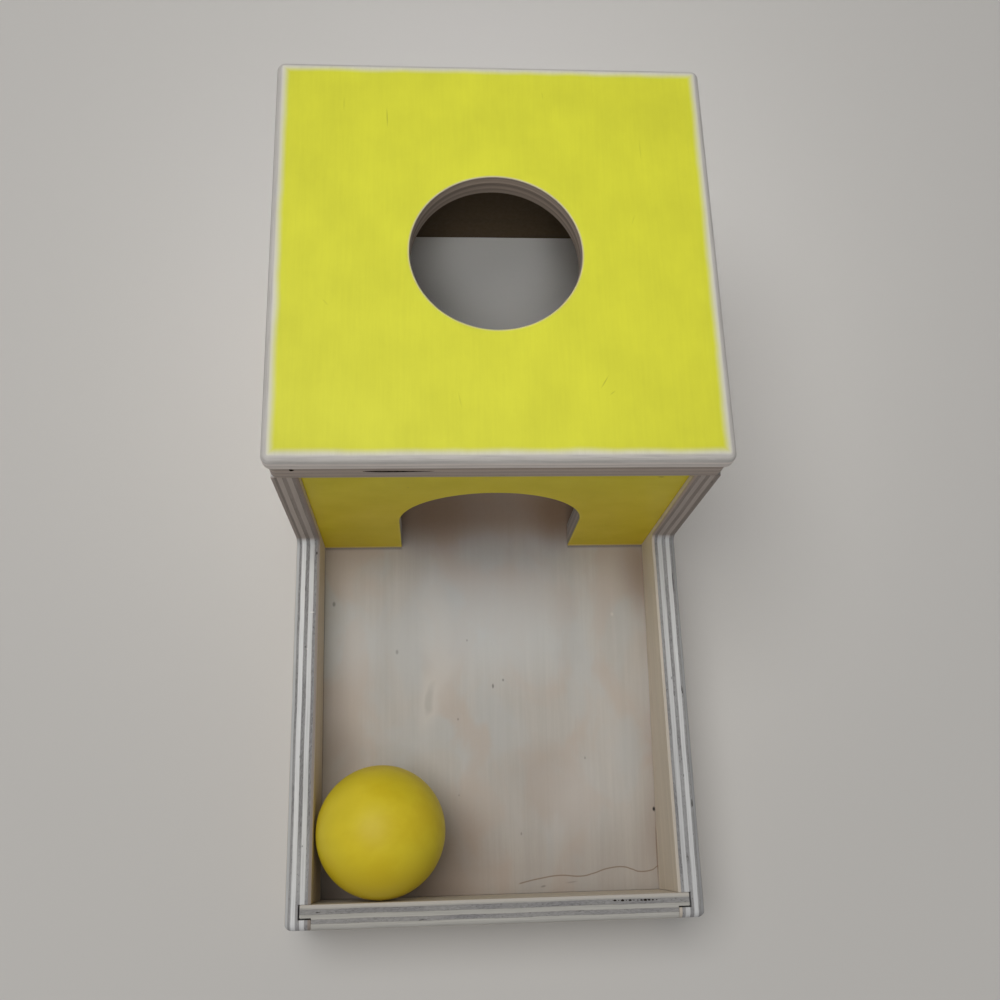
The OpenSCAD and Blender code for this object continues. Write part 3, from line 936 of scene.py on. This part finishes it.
def make_surroundings():
    """Weak even light from all round, which shows as white where it is seen."""
    white, weak = 1.0, 0.20
    world = bpy.data.worlds.new("studio")
    world.use_nodes = True
    sky = world.node_tree
    sky.nodes.clear()
    path = put(sky, "ShaderNodeLightPath").outputs
    mirrored = calc(sky, "MAXIMUM", path["Is Glossy Ray"], path["Is Transmission Ray"])
    seen = calc(sky, "MAXIMUM", path["Is Camera Ray"], mirrored)
    glow = {"Color": (1.0, 1.0, 1.0, 1.0), "Strength": fused(sky, seen, white - weak, weak)}
    put(sky, "ShaderNodeOutputWorld", {"Surface": first_of(sky, "ShaderNodeBackground", glow)})
    bpy.context.scene.world = world


def make_camera():
    """The camera, with the place, direction and lens that fit the photograph."""
    place = Vector((-0.02336, -0.11845, 0.43698))
    ahead = Vector((0.06845, 0.31072, -0.94803)).normalized()
    right = Vector((0.99763, -0.02809, 0.06282))
    camera = bpy.data.cameras.new("camera")
    camera.lens, camera.sensor_width = 37.948, 36.0
    camera.clip_start, camera.clip_end = 0.01, 20.0
    viewer = add_object("camera", camera)
    right = (right - ahead * right.dot(ahead)).normalized()
    up = (-ahead).cross(right)
    viewer.matrix_world = Matrix.Translation(place) @ Matrix((right, up, -ahead)).transposed().to_4x4()
    bpy.context.scene.camera = viewer


# ---------------- operators


class BALLDROP_OT_effects(bpy.types.Operator):
    """Builds the shared wood and paint effects"""

    bl_idname = "balldrop.effects"
    bl_label = "Wood and paint effects"

    def execute(self, context):
        board_axes_group()
        ply_lines_group()
        veneer_grain_group()
        paint_cover_group()
        mark_group()
        edge_distance_group()
        return {"FINISHED"}


class BALLDROP_OT_lid(bpy.types.Operator):
    """Dresses the yellow lid with its drop hole"""

    bl_idname = "balldrop.lid"
    bl_label = "Lid"

    def execute(self, context):
        return dressed_board("lid_board", "lid", lid_finish())


class BALLDROP_OT_top_frame(bpy.types.Operator):
    """Dresses the second board under the lid, with the gap in its front ply"""

    bl_idname = "balldrop.top_frame"
    bl_label = "Top frame"

    def execute(self, context):
        low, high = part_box("top_frame")
        corner = (low.x / MM, low.y / MM, high.z / MM)
        finish = plywood_finish(
            "frame_plywood", (1, 0, 0), (0, 0, -1), corner, BOARD, SIDE_PLIES,
            contrast=0.45, light=(0.45, 0.37, 0.32), seed=5.0,
        )
        # Just behind the front plane, so that no corner of a hollow falls on it
        front = low.y / MM + 0.07
        gap, hole = (-34.0, front, 117.9), (-66.4, front, 119.5)
        hollows = ((gap, gap, 1, (12.6, 2.4, 0.8)), (hole, hole, 1, (0.9, 1.2, 1.0)))
        return dressed_board("top_frame_board", "top_frame", finish, hollows)


class BALLDROP_OT_sides(bpy.types.Operator):
    """Dresses the two L-shaped side boards"""

    bl_idname = "balldrop.sides"
    bl_label = "Side boards"

    def execute(self, context):
        for node, hand in (("left_side", 1), ("right_side", -1)):
            finish = side_finish(node + "_plywood", hand, *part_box(node))
            dressed_board(node + "_board", node, finish)
        return {"FINISHED"}


class BALLDROP_OT_front_panel(bpy.types.Operator):
    """Dresses the yellow panel with its arch"""

    bl_idname = "balldrop.front_panel"
    bl_label = "Front panel"

    def execute(self, context):
        return dressed_board("front_panel_board", "front_panel", panel_finish())


class BALLDROP_OT_back_panel(bpy.types.Operator):
    """Dresses the back panel, whose inner face, darkened with painted shade, shows through the hole"""

    bl_idname = "balldrop.back_panel"
    bl_label = "Back panel"

    def execute(self, context):
        return dressed_board("back_panel_board", "back_panel", back_finish())


class BALLDROP_OT_tray_front(bpy.types.Operator):
    """Dresses the tray's front wall, with the chips in its upper edge"""

    bl_idname = "balldrop.tray_front"
    bl_label = "Tray front"

    def execute(self, context):
        settings = context.scene.ball_drop_sizes
        low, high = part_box("tray_front")
        finish = plywood_finish(
            "tray_front_plywood", (1, 0, 0), (0, 1, 0), tuple(low / MM), TRAY_BOARD, TRAY_PLIES, waviness=0.55,
            light=(0.455, 0.442, 0.412), face=(0.640, 0.580, 0.505), inner=(0.480, 0.450, 0.410),
            outer=0.95, seed=23.0,
        )
        top, unevenness = high.z / MM, 0.6
        first, last, size = (42.0, -138.4, top), (57.0, -138.6, top), (0.50, 0.28, 0.5)
        chips = (first, last, settings.void_count, size, unevenness, settings.seed)
        return dressed_board("tray_front_board", "tray_front", finish, (chips,))


class BALLDROP_OT_floor(bpy.types.Operator):
    """Dresses the sloping floor that the ball rolls down"""

    bl_idname = "balldrop.floor"
    bl_label = "Floor"

    def execute(self, context):
        return dressed_board("floor_board", "floor_panel", floor_finish())


class BALLDROP_OT_ball(bpy.types.Operator):
    """Makes the painted wooden ball"""

    bl_idname = "balldrop.ball"
    bl_label = "Ball"

    def execute(self, context):
        settings = context.scene.ball_drop_sizes
        low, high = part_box("ball")
        middle = (low + high) / 2
        piece = run_tree(
            "painted_ball", ball_tree(),
            {
                "Radius": (high.z - low.z) / 2, "Centre": list(middle), "Flats": settings.ball_flats,
                "Seed": settings.seed, "Finish": ball_finish(),
            },
        )
        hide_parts("ball")
        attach(piece, "ball")
        return {"FINISHED"}


class BALLDROP_OT_stage(bpy.types.Operator):
    """Makes the table, the lights and the camera"""

    bl_idname = "balldrop.stage"
    bl_label = "Stage"

    def execute(self, context):
        context.scene.view_settings.view_transform = "Standard"
        make_table()
        make_lights()
        make_surroundings()
        make_camera()
        return {"FINISHED"}


class BALLDROP_PT_panel(bpy.types.Panel):
    """Lists the steps and settings in the sidebar."""

    bl_label = "Ball-drop box"
    bl_idname = "BALLDROP_PT_panel"
    bl_space_type = "VIEW_3D"
    bl_region_type = "UI"
    bl_category = "Ball-drop box"

    def draw(self, context):
        for group in (context.scene.ball_drop_sizes, context.scene.ball_drop_colours):
            box = self.layout.box()
            for name in group.__annotations__:
                box.prop(group, name)
        for step_class in STEPS:
            self.layout.operator(step_class.bl_idname)


STEPS = (
    BALLDROP_OT_effects, BALLDROP_OT_stage, BALLDROP_OT_floor, BALLDROP_OT_sides, BALLDROP_OT_back_panel,
    BALLDROP_OT_front_panel, BALLDROP_OT_tray_front, BALLDROP_OT_top_frame, BALLDROP_OT_lid, BALLDROP_OT_ball,
)
CLASSES = (BallDropSizes, BallDropColours, *STEPS, BALLDROP_PT_panel)


def register():
    for item in CLASSES:
        bpy.utils.register_class(item)
    bpy.types.Scene.ball_drop_sizes = PointerProperty(type=BallDropSizes)
    bpy.types.Scene.ball_drop_colours = PointerProperty(type=BallDropColours)


def unregister():
    del bpy.types.Scene.ball_drop_colours
    del bpy.types.Scene.ball_drop_sizes
    for item in reversed(CLASSES):
        bpy.utils.unregister_class(item)


def main():
    register()
    bpy.ops.balldrop.effects()
    bpy.ops.balldrop.stage()
    bpy.ops.balldrop.floor()
    bpy.ops.balldrop.sides()
    bpy.ops.balldrop.back_panel()
    bpy.ops.balldrop.front_panel()
    bpy.ops.balldrop.tray_front()
    bpy.ops.balldrop.top_frame()
    bpy.ops.balldrop.lid()
    bpy.ops.balldrop.ball()


if __name__ == "__main__":
    main()
